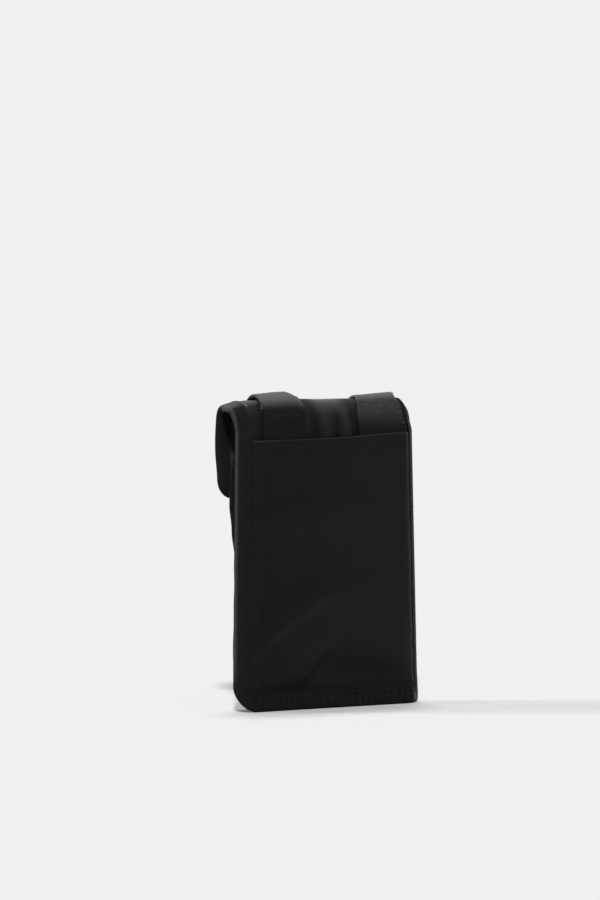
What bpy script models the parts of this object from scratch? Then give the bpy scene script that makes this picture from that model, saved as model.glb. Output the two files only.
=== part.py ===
# Neck pouch: a flat nylon pouch with a curved-over flap, a slip pocket on the back and two webbing
# loops over the crown. It stands on its two bound bottom edges, back towards +Y, flap towards -Y.
# Lengths are in metres. Every panel is laid out flat as (across, along) and then bent into place.

import math

import bmesh
import bpy
from mathutils import Vector

MM = 0.001

# Layers of cloth and the air left between two layers that touch
NYLON = 0.6 * MM
LINING = 0.4 * MM
INTERLINING = 0.4 * MM
BACK_FOAM = 2.0 * MM
FRONT_FOAM = 1.5 * MM
GAP = 0.3 * MM

# Back panel
BACK_HEIGHT = 153.0 * MM
BACK_HALF_WIDTH_TOP = 59.0 * MM
BACK_HALF_WIDTH_BASE = 63.0 * MM
CORNER_RADIUS = 13.0 * MM
LEFT_CORNER_SQUARENESS = 6.0  # 2 is a round corner, and more is squarer
RIGHT_TAPER = 2.2 * MM
EDGE_TURN_ANGLE = math.radians(48)
EDGE_TURN_LENGTH = 6.0 * MM

# Flap, as it is seen from the side
FLAP_HALF_WIDTH = 59.5 * MM
FLAP_TURN_ANGLE_RIGHT = math.radians(16)
FLAP_TURN_ANGLE_LEFT = math.radians(25)
CROWN_TURN_ANGLE_LEFT = math.radians(46)
FLAP_CORNER_RADIUS = 10.0 * MM
CROWN_HEIGHT = 173.5 * MM
CROWN_DEPTH = 14.5 * MM
FLAP_DEPTH = 28.6 * MM
FLAP_TIP_HEIGHT = 119.0 * MM
BELLY_HEIGHT = 149.0 * MM
BELLY_HEIGHT_MIDDLE = 155.0 * MM
BELLY_INSET_MIDDLE = 0.6 * MM
TIP_OUTSET_EDGE = 1.6 * MM
FLAP_MIDDLE_HALF = 33.0 * MM
HINGE_PLAY = 0.2 * MM

# Front panel
FRONT_HEIGHT = 143.0 * MM
FRONT_HALF_WIDTH = 53.5 * MM
FRONT_DEPTH = 19.5 * MM
FRONT_SWELL_LENGTH = 11.0 * MM
# Height as a share of the front's height, and depth of its bound edge as a share of its depth
FRONT_EDGE_SHARES = (
    (0.0, 0.74), (0.25, 0.78), (0.42, 0.71), (0.58, 0.68), (0.70, 0.86), (0.80, 1.00), (0.90, 0.96), (1.0, 0.76),
)

# Binding tape folded over the edges
BINDING_WIDTH = 8.5 * MM
BINDING = 0.6 * MM
BINDING_ROUND = 0.5 * MM

# Gusset between back and front
GUSSET = 0.6 * MM
GUSSET_SEAM_INSET = 5.5 * MM
GUSSET_FOLD_INSET = 11.0 * MM

# Slip pocket on the back
POCKET_HEIGHT = 151.0 * MM
POCKET_FULLNESS = 2.0 * MM
POCKET_HEM_HEIGHT = 11.0 * MM
POCKET_HEM = 0.5 * MM

# Webbing loops
WEBBING_WIDTH = 30.0 * MM
WEBBING = 1.5 * MM
WEBBING_INNER_EDGE = 15.0 * MM
WEBBING_TAIL = 22.0 * MM
WEBBING_LIFT_RIGHT = 2.0 * MM
WEBBING_LIFT_LEFT = 0.6 * MM
WEBBING_END_INSET = 12.0 * MM
LEFT_WEBBING_SHIFT = 1.5 * MM
LEFT_WEBBING_SLANT = 4.0 * MM

# Hook-and-loop closure
TAPE = 1.0 * MM
TAPE_HEIGHT = 12.0 * MM
TAPE_HALF_WIDTH = 30.0 * MM
LOOP_TAPE_MARGIN = 1.0 * MM

# How finely curves are cut
PROFILE_STEPS = 40
ARCH_ROWS = 4
BODY_ROWS = 3
NUDGE = 0.05 * MM
RUN_SPAN = 2.0 * MM
FLATNESS = 0.001 * MM

BACK_EDGE_STACK = NYLON + GAP + LINING
FLAP_STACK = NYLON + GAP + INTERLINING + GAP + LINING
FRONT_EDGE_STACK = NYLON + GAP + LINING
POCKET_STACK = GAP + NYLON
# The flap's tip lies on the two tapes, which lie on the front panel
TIP_DEPTH = FRONT_DEPTH + GAP + TAPE + GAP + TAPE + GAP + FLAP_STACK


def smooth(share):
    share = min(1.0, max(0.0, share))
    return share * share * (3 - 2 * share)


def mix(first, second, share):
    return first + (second - first) * share


def stepped(first, last, count):
    return [mix(first, last, k / count) for k in range(count + 1)]


def from_shares(shares, share):
    """Smooth value between the rows of a table of (place, value)."""
    for (low, start), (high, end) in zip(shares, shares[1:]):
        if share <= high:
            return mix(start, end, smooth((share - low) / (high - low)))
    return shares[-1][1]


class Profile:
    """The line that the outer cloth follows up the back, over the crown and down the flap."""

    QUARTER_SHARE = 0.5523  # handle of a Bezier curve that draws a quarter of an ellipse
    CROWN_SHARE = 0.68  # and of a squarer curve from the crown down to the belly

    def __init__(self, belly_depth, belly_height, tip_depth, tip_run):
        crown = (-CROWN_DEPTH, CROWN_HEIGHT)
        shoulder = (0.0, BACK_HEIGHT)
        belly = (-belly_depth, belly_height)
        landing = (-tip_depth, FLAP_TIP_HEIGHT + tip_run)
        self.points = [(0.0, BINDING), shoulder]
        self.curve(shoulder, (0, 1), crown, (-1, 0))
        self.curve(crown, (-1, 0), belly, (0, -1), self.CROWN_SHARE)
        self.curve(belly, (0, -1), landing, (0, -1))
        self.points.append((-tip_depth, FLAP_TIP_HEIGHT))
        self.reach = [0.0]
        for (y0, z0), (y1, z1) in zip(self.points, self.points[1:]):
            self.reach.append(self.reach[-1] + math.hypot(y1 - y0, z1 - z0))
        self.shoulder = self.reach[1]
        self.crown = self.reach[1 + PROFILE_STEPS]
        self.belly = self.reach[1 + 2 * PROFILE_STEPS]
        self.length = self.reach[-1]

    def curve(self, start, leaving, end, arriving, share=QUARTER_SHARE):
        """Bezier curve between two points, with handles sized as for an ellipse."""
        across, up = abs(end[0] - start[0]), abs(end[1] - start[1])
        h = [share * across, share * up]
        p1 = (start[0] + leaving[0] * h[0], start[1] + leaving[1] * h[1])
        p2 = (end[0] - arriving[0] * h[0], end[1] - arriving[1] * h[1])
        for k in range(1, PROFILE_STEPS + 1):
            t = k / PROFILE_STEPS
            w = ((1 - t) ** 3, 3 * t * (1 - t) ** 2, 3 * t * t * (1 - t), t**3)
            self.points.append(tuple(sum(c * p[i] for c, p in zip(w, (start, p1, p2, end))) for i in (0, 1)))

    def at(self, along):
        """Point at a length along the line."""
        for k in range(1, len(self.reach)):
            if along <= self.reach[k] or k == len(self.reach) - 1:
                share = (along - self.reach[k - 1]) / (self.reach[k] - self.reach[k - 1])
                (y0, z0), (y1, z1) = self.points[k - 1], self.points[k]
                return Vector((mix(y0, y1, share), mix(z0, z1, share)))


edge_line = Profile(FLAP_DEPTH, BELLY_HEIGHT, TIP_DEPTH + TIP_OUTSET_EDGE, TAPE_HEIGHT / 4)
middle_line = Profile(
    FLAP_DEPTH - BELLY_INSET_MIDDLE, BELLY_HEIGHT_MIDDLE, TIP_DEPTH, BINDING_WIDTH + TAPE_HEIGHT + GAP
)
SHELL_LENGTH = edge_line.length
HINGE_BACK = mix(edge_line.shoulder, edge_line.crown, 0.5)
HINGE_FRONT = mix(edge_line.crown, edge_line.belly, 0.5)


def line_at(along, middle_share):
    """The profile at one place across the flap, between its middle and its edge."""
    edge = edge_line.at(along)
    leaving = smooth((along - HINGE_FRONT) / (edge_line.belly - HINGE_FRONT))
    if middle_share * leaving <= 0:
        return edge
    share = (along - edge_line.crown) / (edge_line.length - edge_line.crown)
    middle = middle_line.at(mix(middle_line.crown, middle_line.length, share))
    return edge.lerp(middle, middle_share * leaving)


def shell_half_width(along):
    body = mix(BACK_HALF_WIDTH_BASE, BACK_HALF_WIDTH_TOP, min(1.0, along / BACK_HEIGHT))
    return mix(body, FLAP_HALF_WIDTH, over_crown(along))


def over_crown(along):
    """Share of the way from the slip pocket's mouth to the top of the crown."""
    return smooth((along - POCKET_HEIGHT) / (edge_line.crown - POCKET_HEIGHT))


def flap_turn_angle(across, along):
    """The flap's left margin turns in more over the crown than further down."""
    if across > 0:
        return FLAP_TURN_ANGLE_RIGHT
    down = smooth((along - edge_line.crown) / (edge_line.belly - edge_line.crown))
    return mix(CROWN_TURN_ANGLE_LEFT, FLAP_TURN_ANGLE_LEFT, down)


def edge_turn(across, along):
    """Where the cloth's side margin turns in: place across, and drop into the pouch."""
    angle = mix(EDGE_TURN_ANGLE, flap_turn_angle(across, along), over_crown(along))
    start = shell_half_width(along) - CORNER_RADIUS
    past = abs(across) - start
    if past <= 0:
        return across, 0.0
    radius = EDGE_TURN_LENGTH / angle
    turned = min(past, EDGE_TURN_LENGTH) / radius
    straight = max(0.0, past - EDGE_TURN_LENGTH)
    out = start + radius * math.sin(turned) + straight * math.cos(turned)
    drop = radius * (1 - math.cos(turned)) + straight * math.sin(turned)
    return math.copysign(out, across), drop


def base_place(across, along):
    """The body is drawn in at its lower right, and its lower left corner is pushed out squarer."""
    if across > 0:
        taper = RIGHT_TAPER * max(0.0, 1 - along / BACK_HEIGHT)
        return across - taper * smooth(across / (BACK_HALF_WIDTH_TOP - CORNER_RADIUS)), along
    out = -across - (shell_half_width(CORNER_RADIUS) - CORNER_RADIUS)
    down = CORNER_RADIUS - along
    if out <= 0 or down <= 0:
        return across, along
    reach = math.hypot(out, down)
    n = LEFT_CORNER_SQUARENESS
    grown = ((out / reach) ** n + (down / reach) ** n) ** (-1 / n) - 1
    return across - out * grown, along - down * grown


def shell_middle(across, along):
    across, along = base_place(across, along)
    middle_share = 1 - smooth((abs(across) - FLAP_MIDDLE_HALF) / (FLAP_HALF_WIDTH - FLAP_MIDDLE_HALF))
    here = line_at(along, middle_share)
    run = line_at(along + RUN_SPAN, middle_share) - line_at(along - RUN_SPAN, middle_share)
    run.normalize()
    x, drop = edge_turn(across, along)
    return Vector((x, here.x - run.y * drop, here.y + run.x * drop))


def shell_flat(across, along, out):
    over = shell_middle(across + NUDGE, along) - shell_middle(across - NUDGE, along)
    up = shell_middle(across, along + NUDGE) - shell_middle(across, along - NUDGE)
    return shell_middle(across, along) + up.cross(over).normalized() * out


def webbing_lift(side, along):
    """The webbing stands off the cloth where it passes over the crown."""
    share = (along - edge_line.shoulder) / (edge_line.crown - edge_line.shoulder) / 2
    lift = WEBBING_LIFT_RIGHT if side > 0 else WEBBING_LIFT_LEFT
    return lift * math.sin(math.pi * min(1.0, max(0.0, share))) ** 2


def webbing_shift(side, along):
    """The left band slants outwards towards the crown."""
    if side > 0:
        return 0.0
    up = smooth((along - edge_line.shoulder) / (edge_line.crown - edge_line.shoulder))
    return -LEFT_WEBBING_SHIFT - LEFT_WEBBING_SLANT * up


def centred_depth():
    """Place of the back's outer face that centres the pouch on its own depth."""
    back = POCKET_STACK + POCKET_FULLNESS + POCKET_HEM
    outer_edge = WEBBING_INNER_EDGE + WEBBING_WIDTH
    places = stepped(edge_line.crown, SHELL_LENGTH - WEBBING_END_INSET, 4 * PROFILE_STEPS)
    front = min(
        min(shell_flat(outer_edge, along, GAP + webbing_lift(1, along) + WEBBING).y for along in places),
        min(shell_flat(FLAP_HALF_WIDTH - CORNER_RADIUS, along, 0.0).y for along in places),
    )
    return -(front + back) / 2


BACK_Y = centred_depth()


def shell_point(across, along, out):
    """A point of the back and flap: place across and along the flat cloth, and height off its outer face."""
    return shell_flat(across, along, out) + Vector((0.0, BACK_Y, 0.0))


def edge_distance(across, along, half_width, radius):
    """Distance from a place on a panel to its sides and its rounded bottom corners."""
    side = half_width - abs(across)
    if along < radius and side < radius:
        return radius - math.hypot(radius - side, radius - along)
    return min(side, along)


def front_middle(across, along):
    share = along / FRONT_HEIGHT
    edge = FRONT_DEPTH * from_shares(FRONT_EDGE_SHARES, max(0.0, share))
    inset = edge_distance(across, along, FRONT_HALF_WIDTH, CORNER_RADIUS)
    swell_start = CORNER_RADIUS - FRONT_SWELL_LENGTH
    depth = mix(edge, FRONT_DEPTH, smooth((inset - swell_start) / FRONT_SWELL_LENGTH))
    return Vector((across, BACK_Y - depth, along + BINDING))


def front_point(across, along, out):
    """A point of the front panel, and height off its outer face, which looks towards -Y."""
    over = front_middle(across + NUDGE, along) - front_middle(across - NUDGE, along)
    up = front_middle(across, along + NUDGE) - front_middle(across, along - NUDGE)
    return front_middle(across, along) + over.cross(up).normalized() * out


def material(name, colour, roughness, metallic=0.0):
    made = bpy.data.materials.get(name) or bpy.data.materials.new(name)
    made.use_nodes = True
    shader = made.node_tree.nodes["Principled BSDF"]
    shader.inputs["Base Color"].default_value = (*colour, 1.0)
    shader.inputs["Roughness"].default_value = roughness
    shader.inputs["Metallic"].default_value = metallic
    return made


def nylon():
    return material("black_nylon", (0.012, 0.012, 0.013), 0.55)


def binding_cloth():
    return material("binding_tape", (0.014, 0.014, 0.014), 0.7)


def webbing_cloth():
    return material("webbing", (0.022, 0.022, 0.022), 0.8)


def lining_cloth():
    return material("lining", (0.010, 0.010, 0.011), 0.65)


def foam():
    return material("foam", (0.10, 0.10, 0.10), 0.95)


def tape_cloth():
    return material("hook_and_loop", (0.010, 0.010, 0.010), 0.9)


def add_object(name, mesh, cloth, empty):
    piece = bpy.data.objects.new(name, mesh)
    bpy.context.scene.collection.objects.link(piece)
    mesh.materials.append(cloth)
    if empty is not None:
        piece.parent = empty
        piece.matrix_parent_inverse = empty.matrix_basis.inverted()
    mesh.shade_smooth()
    mesh.set_sharp_from_angle(angle=math.radians(40))
    return piece


def slab(name, place, lattice, outer_at, inner_at, cloth, empty=None):
    """A sheet of cloth or foam: rows of places, closed between its outer and its inner face."""
    bm = bmesh.new()
    outer, inner = (
        [[bm.verts.new(place(across, along, height_at(across, along))) for across, along in row] for row in lattice]
        for height_at in (outer_at, inner_at)
    )
    last_row, last_column = len(outer) - 1, len(outer[0]) - 1
    for r in range(last_row):
        for c in range(last_column):
            bm.faces.new((outer[r][c], outer[r][c + 1], outer[r + 1][c + 1], outer[r + 1][c]))
            bm.faces.new((inner[r][c], inner[r + 1][c], inner[r + 1][c + 1], inner[r][c + 1]))
    for r in (0, last_row):
        for c in range(last_column):
            bm.faces.new((outer[r][c + 1], outer[r][c], inner[r][c], inner[r][c + 1]))
    for c in (0, last_column):
        for r in range(last_row):
            bm.faces.new((outer[r][c], outer[r + 1][c], inner[r + 1][c], inner[r][c]))
    return finish_mesh(name, bm, cloth, empty)


def sweep(name, sections, cloth, empty=None):
    """A closed section carried from place to place, with flat ends."""
    bm = bmesh.new()
    loops = [[bm.verts.new(point) for point in section] for section in sections]
    count = len(loops[0])
    for first, second in zip(loops, loops[1:]):
        for k in range(count):
            n = (k + 1) % count
            bm.faces.new((first[k], first[n], second[n], second[k]))
    bm.faces.new(loops[0][::-1])
    bm.faces.new(loops[-1])
    return finish_mesh(name, bm, cloth, empty)


def split_twisted(bm):
    """Cut each twisted quad along its diagonal nearer the front, so that layers that nest bend alike."""
    for face in [face for face in bm.faces if len(face.verts) == 4]:
        a, b, c, d = face.verts
        lead = b.co.y + d.co.y - a.co.y - c.co.y
        if abs(lead) > FLATNESS:
            bmesh.utils.face_split(face, *((a, c) if lead > 0 else (b, d)))


def finish_mesh(name, bm, cloth, empty):
    split_twisted(bm)
    bmesh.ops.recalc_face_normals(bm, faces=bm.faces)
    if bm.calc_volume(signed=True) < 0:
        bmesh.ops.reverse_faces(bm, faces=bm.faces)
    mesh = bpy.data.meshes.new(name)
    bm.to_mesh(mesh)
    bm.free()
    return add_object(name, mesh, cloth, empty)


def corner_angle(side, bottom, radius):
    """Direction of a place in the rounded corner, from 0 at its side to a quarter turn at its bottom."""
    ring = min(side, bottom)
    share = abs(side - bottom) / (radius - ring)
    return math.pi / 4 * (1 + share if side > bottom else 1 - share)


def corner_place(side, bottom, half_width, radius):
    """A place by its distances from side and bottom, with the rows led round the rounded corner."""
    ring = min(side, bottom)
    if max(side, bottom) >= radius and ring >= radius:
        return half_width - side, bottom
    angle = corner_angle(side, bottom, radius)
    arc = radius - ring
    return half_width - radius + arc * math.cos(angle), radius - arc * math.sin(angle)


def mirrored(row):
    """A row of places from the right edge to the middle, made whole."""
    return [(-a, b) for a, b in row] + [(0.0, row[-1][1])] + row[::-1]


def panel_lattice(half_width_at, insets, middles, heights, radius):
    """Rows of places over a panel with rounded bottom corners, close together along its margins."""
    rows = []
    for bottom in insets:
        row = [corner_place(side, bottom, half_width_at(radius), radius) for side in insets]
        rows.append(mirrored(row + [(middle, bottom) for middle in middles]))
    return rows + plain_lattice(half_width_at, insets, middles, heights)


def plain_lattice(half_width_at, insets, middles, heights):
    rows = []
    for along in heights:
        row = [(half_width_at(along) - side, along) for side in insets]
        rows.append(mirrored(row + [(middle, along) for middle in middles]))
    return rows


def outline_stations(half_width_at, insets, middles, heights, radius):
    """Places and inward directions round a panel's edge: down one side, along the bottom, up the other."""
    half = [((half_width_at(b), b), (-1.0, 0.0)) for b in reversed(heights)]
    centre = half_width_at(radius) - radius
    pairs = [(insets[0], bottom) for bottom in reversed(insets)] + [(side, insets[0]) for side in insets[1:]]
    for side, bottom in pairs:
        angle = corner_angle(side, bottom, radius)
        x, z = math.cos(angle), math.sin(angle)
        half.append(((centre + radius * x, radius - radius * z), (-x, z)))
    half += [((middle, 0.0), (0.0, 1.0)) for middle in middles]
    other = [((-a, b), (-x, z)) for (a, b), (x, z) in reversed(half)]
    return half + [((0.0, 0.0), (0.0, 1.0))] + other


def lining_drop(inset, thickness):
    """How far the lining stands off the outer cloth to make room for the foam."""
    return (thickness + GAP) * smooth((inset - BINDING_WIDTH) / (CORNER_RADIUS - BINDING_WIDTH))


def back_inset(across, along):
    side = edge_distance(across, along, shell_half_width(along), CORNER_RADIUS)
    return min(side, edge_line.shoulder + BINDING_WIDTH / 2 - along)


def front_inset(across, along):
    side = edge_distance(across, along, FRONT_HALF_WIDTH, CORNER_RADIUS)
    return min(side, FRONT_HEIGHT + BINDING_WIDTH / 2 - along)


# Distances in from the edge at which every layer of the body has a row of places
TURN_END = CORNER_RADIUS - EDGE_TURN_LENGTH
FOAM_INSET = mix(BINDING_WIDTH, CORNER_RADIUS, 0.5)
BODY_INSETS = sorted((
    GAP, BINDING_WIDTH / 4, BINDING_WIDTH / 2, TURN_END, BINDING_WIDTH, FOAM_INSET, CORNER_RADIUS,
))
FOAM_INSETS = [FOAM_INSET, CORNER_RADIUS]
LEAF_INSETS = [0.0] + [inset for inset in BODY_INSETS if GAP < inset <= BINDING_WIDTH]

HEM_START = POCKET_HEIGHT - POCKET_HEM_HEIGHT
BACK_HEIGHTS = stepped(CORNER_RADIUS, HEM_START, BODY_ROWS)[1:]
MOUTH_HEIGHTS = [POCKET_HEIGHT, edge_line.shoulder]
ARCH_HEIGHTS = stepped(edge_line.shoulder, HINGE_BACK - HINGE_PLAY, ARCH_ROWS)[1:]
FRONT_HEIGHTS = [
    FRONT_HEIGHT * mix(low, high, half)
    for (low, _), (high, _) in zip(FRONT_EDGE_SHARES[1:], FRONT_EDGE_SHARES[2:])
    for half in (0.0, 0.5)
] + [FRONT_HEIGHT]


def back_lattice(insets, heights):
    return panel_lattice(shell_half_width, insets, (), heights, CORNER_RADIUS)


def front_lattice(insets, heights):
    return panel_lattice(lambda b: FRONT_HALF_WIDTH, insets, (), heights, CORNER_RADIUS)


def lined(part, place, lattice, foam_lattice, inset_at, thickness):
    """Outer cloth, foam and lining of one side of the body; the foam stops short of the bound edge."""
    under = NYLON + GAP

    def lining_face(across, along):
        return -under - lining_drop(inset_at(across, along), thickness)

    slab(f"{part}_panel", place, lattice, lambda a, b: 0.0, lambda a, b: -NYLON, nylon())
    slab(f"{part}_foam", place, foam_lattice, lambda a, b: -under, lambda a, b: lining_face(a, b) + GAP, foam())
    slab(f"{part}_lining", place, lattice, lining_face, lambda a, b: lining_face(a, b) - LINING, lining_cloth())


def back_pieces():
    """The back, up to the fold where the flap starts to move."""
    lattice = back_lattice(BODY_INSETS, BACK_HEIGHTS + MOUTH_HEIGHTS + ARCH_HEIGHTS)
    lined("back", shell_point, lattice, back_lattice(FOAM_INSETS, BACK_HEIGHTS), back_inset, BACK_FOAM)


def front_pieces():
    lattice = front_lattice(BODY_INSETS, FRONT_HEIGHTS)
    lined("front", front_point, lattice, front_lattice(FOAM_INSETS, FRONT_HEIGHTS[:-2]), front_inset, FRONT_FOAM)


def pocket_fullness(across, along):
    inset = edge_distance(across, along, shell_half_width(along), CORNER_RADIUS)
    return POCKET_FULLNESS * smooth((inset - BINDING_WIDTH) / (CORNER_RADIUS - BINDING_WIDTH))


def slip_pocket():
    """Flat patch pocket over the whole back, sewn in at the sides and bottom, with a folded hem."""
    hem_step = HEM_START + POCKET_HEM

    def outer(across, along):
        full = pocket_fullness(across, along)
        hem = POCKET_HEM if along >= hem_step else 0.0
        return GAP + full + NYLON + hem * full / POCKET_FULLNESS

    lattice = back_lattice(BODY_INSETS, BACK_HEIGHTS + [hem_step, POCKET_HEIGHT])
    slab("slip_pocket", shell_point, lattice, outer, lambda a, b: GAP + pocket_fullness(a, b), nylon())


FLAP_INSETS = [
    GAP, BINDING_WIDTH / 2, BINDING_WIDTH, FLAP_CORNER_RADIUS,
]
FLAP_MIDDLES = [mix(FLAP_HALF_WIDTH - FLAP_CORNER_RADIUS, FLAP_MIDDLE_HALF, 0.5), FLAP_MIDDLE_HALF]
CROWN_HEIGHTS = stepped(HINGE_BACK + HINGE_PLAY, HINGE_FRONT - HINGE_PLAY, 2 * ARCH_ROWS)
# The flap's front is laid out from its tip
FRONT_FOLD_HEIGHT = SHELL_LENGTH - HINGE_FRONT - HINGE_PLAY
FLAP_HEIGHTS = stepped(FLAP_CORNER_RADIUS, FRONT_FOLD_HEIGHT, 3 * ARCH_ROWS)[1:]


def flap_half_width(from_tip):
    return shell_half_width(SHELL_LENGTH - from_tip)


def flap_point(across, from_tip, out):
    """A point of the flap's front, by its distance from the tip."""
    return shell_point(across, SHELL_LENGTH - from_tip, out)


def flap_layers(part, place, lattice, empty):
    """The three layers of one part of the flap."""
    depths = (
        ("panel", 0.0, NYLON, nylon()),
        ("interlining", NYLON + GAP, INTERLINING, foam()),
        ("lining", NYLON + GAP + INTERLINING + GAP, LINING, lining_cloth()),
    )
    for layer, depth, thickness, cloth in depths:
        slab(
            f"{part}_{layer}", place, lattice,
            lambda a, b, d=depth: -d,
            lambda a, b, d=depth + thickness: -d,
            cloth, empty,
        )


def binding_section(place, station, inward, outer_stack, inner_stack, insets):
    """The folded tape around one place of an edge: two leaves and the round fold between them."""
    top, bottom = outer_stack + GAP, -inner_stack - GAP
    leaf = insets + [BINDING_WIDTH] if insets[-1] < BINDING_WIDTH else insets
    outline = [(d, top) for d in reversed(leaf)] + [(d, bottom) for d in leaf]
    outline += [(d, bottom - BINDING) for d in reversed(leaf[1:])]
    outline += [
        (BINDING_ROUND - BINDING, bottom - BINDING), (-BINDING, bottom - BINDING + BINDING_ROUND),
        (-BINDING, top + BINDING - BINDING_ROUND), (BINDING_ROUND - BINDING, top + BINDING),
    ]
    outline += [(d, top + BINDING) for d in leaf[1:]]
    across, along = station
    return [place(across + inward[0] * d, along + inward[1] * d, out) for d, out in outline]


def outer_stack_at(along):
    """The slip pocket lies under the tape on the body, and ends at its mouth."""
    past = (along - POCKET_HEIGHT) / BINDING_WIDTH
    return POCKET_STACK * (1 - smooth(past))


def body_bindings():
    heights = BACK_HEIGHTS + MOUTH_HEIGHTS + ARCH_HEIGHTS
    stations = outline_stations(shell_half_width, BODY_INSETS, (), heights, CORNER_RADIUS)
    sections = [
        binding_section(shell_point, place, inward, outer_stack_at(place[1]), BACK_EDGE_STACK, LEAF_INSETS)
        for place, inward in stations
    ]
    sweep("back_binding", sections, binding_cloth())

    stations = outline_stations(lambda b: FRONT_HALF_WIDTH, BODY_INSETS, (), FRONT_HEIGHTS, CORNER_RADIUS)
    sections = [
        binding_section(front_point, place, inward, 0.0, FRONT_EDGE_STACK, LEAF_INSETS)
        for place, inward in stations
    ]
    sweep("front_binding", sections, binding_cloth())


def gusset():
    """Strip between the two bound seams, folded into the pouch along its middle."""
    heights = FRONT_HEIGHTS[:-2]
    back = outline_stations(shell_half_width, BODY_INSETS, (), heights, CORNER_RADIUS)
    front = outline_stations(lambda b: FRONT_HALF_WIDTH, BODY_INSETS, (), heights, CORNER_RADIUS)
    seam_depth = BACK_EDGE_STACK + GAP + BINDING + GAP
    sections = []
    for ((back_a, back_b), inward), ((front_a, front_b), _) in zip(back, front):

        def across_gap(inset):
            x, z = inward[0] * inset, inward[1] * inset
            return (
                shell_point(back_a + x, back_b + z, -seam_depth),
                front_point(front_a + x, front_b + z, -seam_depth),
            )

        rings = []
        for extra in (0.0, GUSSET):
            first, last = across_gap(GUSSET_SEAM_INSET + extra)
            deep, shallow = across_gap(GUSSET_FOLD_INSET + extra)
            rings.append([first, (deep + shallow) / 2, last])
        sections.append(rings[0] + rings[1][::-1])
    sweep("gusset", sections, nylon())


def webbings(empty):
    start = POCKET_HEIGHT - WEBBING_TAIL
    end = SHELL_LENGTH - WEBBING_END_INSET
    heights = [start, POCKET_HEIGHT] + ARCH_HEIGHTS + CROWN_HEIGHTS
    heights += [SHELL_LENGTH - b for b in reversed(FLAP_HEIGHTS)] + [end]
    outer_edge = WEBBING_INNER_EDGE + WEBBING_WIDTH
    turns = [x for x in reversed(FLAP_MIDDLES) if WEBBING_INNER_EDGE < x < outer_edge]
    for name, side in (("left_webbing", -1), ("right_webbing", 1)):
        places = sorted(side * x for x in [WEBBING_INNER_EDGE, *turns, outer_edge])
        slab(
            name, shell_point, [[(a + webbing_shift(side, b), b) for a in places] for b in reversed(heights)],
            lambda a, b, side=side: GAP + webbing_lift(side, b) + WEBBING,
            lambda a, b, side=side: GAP + webbing_lift(side, b),
            webbing_cloth(), empty,
        )


def crown_pieces(empty):
    lattice = plain_lattice(shell_half_width, FLAP_INSETS, FLAP_MIDDLES, CROWN_HEIGHTS)
    flap_layers("flap_crown", shell_point, lattice, empty)
    for name, side in (("crown_binding_left", -1), ("crown_binding_right", 1)):
        sections = [
            binding_section(
                shell_point, (side * shell_half_width(b), b), (-side, 0.0), 0.0, FLAP_STACK, [0.0, BINDING_WIDTH / 2]
            )
            for b in CROWN_HEIGHTS
        ]
        sweep(name, sections, binding_cloth(), empty)


def flap_front_pieces(empty):
    flap_layers(
        "flap_front", flap_point,
        panel_lattice(flap_half_width, FLAP_INSETS, FLAP_MIDDLES, FLAP_HEIGHTS, FLAP_CORNER_RADIUS),
        empty,
    )
    stations = outline_stations(flap_half_width, FLAP_INSETS, FLAP_MIDDLES, FLAP_HEIGHTS, FLAP_CORNER_RADIUS)
    sections = [
        binding_section(flap_point, place, inward, 0.0, FLAP_STACK, [0.0, BINDING_WIDTH / 2])
        for place, inward in stations
    ]
    sweep("flap_binding", sections, binding_cloth(), empty)

    low = BINDING_WIDTH + GAP
    depth = FLAP_STACK + GAP
    across = stepped(-TAPE_HALF_WIDTH, TAPE_HALF_WIDTH, 4)
    slab(
        "hook_tape", flap_point, [[(a, b) for a in across] for b in stepped(low, low + TAPE_HEIGHT, 2)],
        lambda a, b: -depth, lambda a, b: -depth - TAPE, tape_cloth(), empty,
    )


def loop_tape():
    low = FLAP_TIP_HEIGHT + BINDING_WIDTH + GAP - LOOP_TAPE_MARGIN - BINDING
    high = low + TAPE_HEIGHT + LOOP_TAPE_MARGIN
    across = stepped(-TAPE_HALF_WIDTH - LOOP_TAPE_MARGIN, TAPE_HALF_WIDTH + LOOP_TAPE_MARGIN, 4)
    slab(
        "loop_tape", front_point, [[(a, b) for a in across] for b in (low, high)],
        lambda a, b: GAP + TAPE, lambda a, b: GAP, tape_cloth(),
    )


def fold_axis(name, along):
    """An empty on a fold line of the flap, at the outer face of its bound edge."""
    empty = bpy.data.objects.new(name, None)
    bpy.context.scene.collection.objects.link(empty)
    place = shell_point(0.0, along, GAP + BINDING + HINGE_PLAY)
    empty.location = place
    print(f"{name}: y {place.y:.6f} z {place.z:.6f}")
    return empty


def main():
    for old in list(bpy.data.objects):
        bpy.data.objects.remove(old)
    back_pieces()
    slip_pocket()
    front_pieces()
    body_bindings()
    gusset()
    loop_tape()
    back_fold = fold_axis("back_fold_axis", HINGE_BACK)
    front_fold = fold_axis("front_fold_axis", HINGE_FRONT)
    front_fold.parent = back_fold
    front_fold.matrix_parent_inverse = back_fold.matrix_basis.inverted()
    bpy.context.view_layer.update()
    crown_pieces(back_fold)
    webbings(back_fold)
    flap_front_pieces(front_fold)


main()
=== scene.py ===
# Neck pouch in black nylon: bound edges, a curved-over flap, a slip pocket across the back and two
# webbing loops over the crown. Each cloth is laid out flat as (across, along) and bent into place.
import math

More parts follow.
